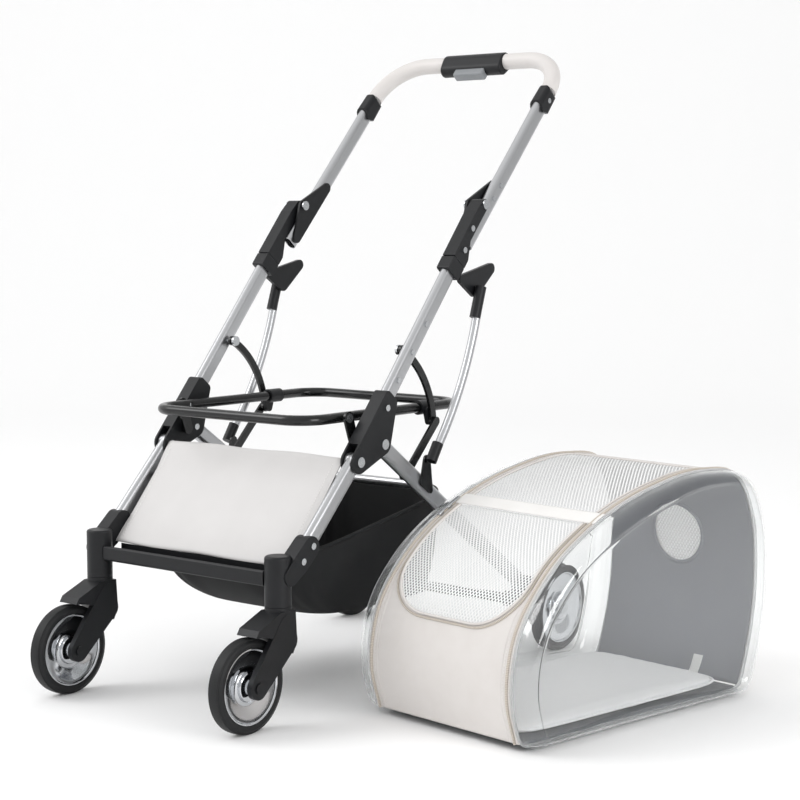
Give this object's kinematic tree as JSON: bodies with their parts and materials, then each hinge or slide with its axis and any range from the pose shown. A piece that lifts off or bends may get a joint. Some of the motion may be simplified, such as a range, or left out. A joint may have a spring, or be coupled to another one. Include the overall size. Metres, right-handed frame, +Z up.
{
  "type": "pet stroller",
  "caption": "Folding aluminium pet stroller chassis with swivel front casters, and its lift-off clear-sided mesh carrier standing beside it.",
  "frame": {"origin": "centre of the bounding box on the floor", "axes": "+Z up, -Y the stroller's front, +X the side on which the carrier stands"},
  "size_m": [0.9083, 0.8924, 1.032],
  "materials": {
    "aluminium_tube": "satin",
    "black_plastic": "matte",
    "black_steel": "gloss",
    "bright_steel": "satin",
    "chrome_wheel": "polished",
    "tyre_rubber": "matte",
    "white_grip": "satin",
    "grey_plastic": "satin",
    "white_panel": "satin",
    "black_fabric": "matte",
    "ivory_fabric": "matte",
    "white_mesh": "matte",
    "grey_lining": "matte",
    "pad_fabric": "matte",
    "clear_pvc": "gloss"
  },
  "bodies": {
    "chassis": {"main_tubes": "aluminium_tube", "lower_brackets": "black_plastic", "hinge_housings": "black_plastic", "hoop_brackets": "black_steel", "pivot_pins": "bright_steel", "frame_rivets": "bright_steel", "basket": "black_fabric"},
    "strut_carriage": {"strut_collars": "black_plastic", "rear_struts": "aluminium_tube", "strut_ends": "black_plastic"},
    "handle": {"handle_tubes": "aluminium_tube", "handle_plates": "black_plastic", "handle_cuffs": "black_plastic", "handle_arch_tube": "aluminium_tube", "grip_sleeves": "white_grip", "grip_cover": "black_plastic", "handle_rivets": "bright_steel"},
    "trigger": {"grip_trigger": "grey_plastic"},
    "front_frame": {"front_legs": "aluminium_tube", "caster_housing_left": "black_plastic", "caster_housing_right": "black_plastic", "front_bar": "black_plastic", "front_panel": "white_panel", "front_cross_rod": "black_steel", "housing_bolts": "bright_steel"},
    "caster_left": {"caster_fork_left": "black_plastic"},
    "caster_right": {"caster_fork_right": "black_plastic"},
    "front_wheel_left": {"front_tyre_left": "tyre_rubber", "front_rim_left": "chrome_wheel"},
    "front_wheel_right": {"front_tyre_right": "tyre_rubber", "front_rim_right": "chrome_wheel"},
    "rear_frame": {"rear_legs": "aluminium_tube", "rear_hubs": "black_plastic", "rear_axle_rod": "bright_steel", "rear_axle_tube": "black_steel", "rear_cross_tube": "aluminium_tube", "rear_leg_tabs": "black_steel"},
    "rear_wheel_left": {"rear_tyre_left": "tyre_rubber", "rear_rim_left": "chrome_wheel"},
    "rear_wheel_right": {"rear_tyre_right": "tyre_rubber", "rear_rim_right": "chrome_wheel"},
    "brake": {"brake_pedal": "black_plastic"},
    "hoop": {"carrier_hoop": "black_steel"},
    "sleeves": {"hoop_sleeves": "black_plastic"},
    "arc_linkage": {"arc_links": "black_steel"},
    "lower_linkage": {"lower_links": "black_steel"},
    "carrier": {"front_cover": "ivory_fabric", "top_cover": "ivory_fabric", "top_mesh": "white_mesh", "cross_strip": "white_mesh", "rear_cover": "ivory_fabric", "rear_lining": "grey_lining", "rear_window_mesh": "white_mesh", "base_board": "grey_plastic", "floor_pad": "pad_fabric", "zip_tapes": "ivory_fabric", "side_window_left": "clear_pvc", "carrier_feet": "black_plastic"},
    "door": {"mesh_door": "white_mesh"},
    "window_door": {"side_window_right": "clear_pvc"}
  },
  "joints": [
    {"name": "front_fold", "type": "hinge", "parent": "chassis", "child": "front_frame", "pos_m": [-0.2092, -0.1522, 0.374], "axis": [1, 0, 0], "range_deg": [0, 35], "deforming": ["basket"]},
    {"name": "rear_fold", "type": "hinge", "parent": "chassis", "child": "rear_frame", "pos_m": [-0.2092, -0.0942, 0.396], "axis": [1, 0, 0], "range_deg": [-31.5, 0]},
    {"name": "strut_slide", "type": "slide", "parent": "chassis", "child": "strut_carriage", "axis": [0, -0.6414, -0.7672], "range_m": [0, 0.0605]},
    {"name": "handle_fold", "type": "hinge", "parent": "chassis", "child": "handle", "pos_m": [-0.2092, 0.16567, 0.76258], "axis": [1, 0, 0], "range_deg": [0, 150]},
    {"name": "trigger_pull", "type": "slide", "parent": "handle", "child": "trigger", "axis": [0, 0.6731, 0.7395], "range_m": [0, 0.006], "stiffness_N_per_m": 400},
    {"name": "caster_swivel_left", "type": "hinge", "parent": "front_frame", "child": "caster_left", "pos_m": [-0.3992, -0.3132, 0.178], "axis": [0, 0, 1], "continuous": true},
    {"name": "caster_swivel_right", "type": "hinge", "parent": "front_frame", "child": "caster_right", "pos_m": [-0.0192, -0.3132, 0.178], "axis": [0, 0, 1], "continuous": true},
    {"name": "front_spin_left", "type": "hinge", "parent": "caster_left", "child": "front_wheel_left", "pos_m": [-0.3992, -0.3762, 0.07], "axis": [1, 0, 0], "continuous": true},
    {"name": "front_spin_right", "type": "hinge", "parent": "caster_right", "child": "front_wheel_right", "pos_m": [-0.0192, -0.3762, 0.07], "axis": [1, 0, 0], "continuous": true},
    {"name": "rear_spin_left", "type": "hinge", "parent": "rear_frame", "child": "rear_wheel_left", "pos_m": [-0.4402, 0.3548, 0.075], "axis": [1, 0, 0], "continuous": true},
    {"name": "rear_spin_right", "type": "hinge", "parent": "rear_frame", "child": "rear_wheel_right", "pos_m": [0.0218, 0.3548, 0.075], "axis": [1, 0, 0], "continuous": true},
    {"name": "brake_press", "type": "hinge", "parent": "rear_frame", "child": "brake", "pos_m": [-0.0642, 0.3548, 0.075], "axis": [-1, 0, 0], "range_deg": [0, 20]},
    {"name": "hoop_fold", "type": "hinge", "parent": "chassis", "child": "hoop", "pos_m": [-0.2092, -0.1392, 0.438], "axis": [1, 0, 0], "range_deg": [0, 28]},
    {"name": "sleeve_slide", "type": "slide", "parent": "hoop", "child": "sleeves", "axis": [0, 1, 0], "range_m": [0, 0.028]},
    {"name": "arc_link_swing", "type": "hinge", "parent": "chassis", "child": "arc_linkage", "pos_m": [-0.2092, -0.0132, 0.535], "axis": [1, 0, 0], "range_deg": [0, 63]},
    {"name": "lower_link_swing", "type": "hinge", "parent": "rear_frame", "child": "lower_linkage", "pos_m": [-0.2092, -0.0132, 0.337], "axis": [1, 0, 0], "range_deg": [0, 35]},
    {"name": "carrier_lift", "type": "slide", "parent": "chassis", "child": "carrier", "axis": [0, 0, 1], "range_m": [0, 0.45]},
    {"name": "door_open", "type": "hinge", "parent": "carrier", "child": "door", "pos_m": [0.22341, -0.0347, 0.3105], "axis": [-0.989, 0.1478, 0], "range_deg": [0, 95]},
    {"name": "window_open", "type": "hinge", "parent": "carrier", "child": "window_door", "pos_m": [0.37963, 0.02688, 0.008], "axis": [0.1478, 0.989, 0], "range_deg": [0, 70]}
  ],
  "couplings": [
    {"joint": "rear_fold", "follows": "front_fold", "ratio": -0.9},
    {"joint": "strut_slide", "follows": "front_fold", "m_per_rad": 0.09904},
    {"joint": "hoop_fold", "follows": "front_fold", "ratio": 0.8},
    {"joint": "sleeve_slide", "follows": "front_fold", "m_per_rad": 0.045837},
    {"joint": "arc_link_swing", "follows": "front_fold", "ratio": 1.8},
    {"joint": "lower_link_swing", "follows": "front_fold", "ratio": 1}
  ]
}
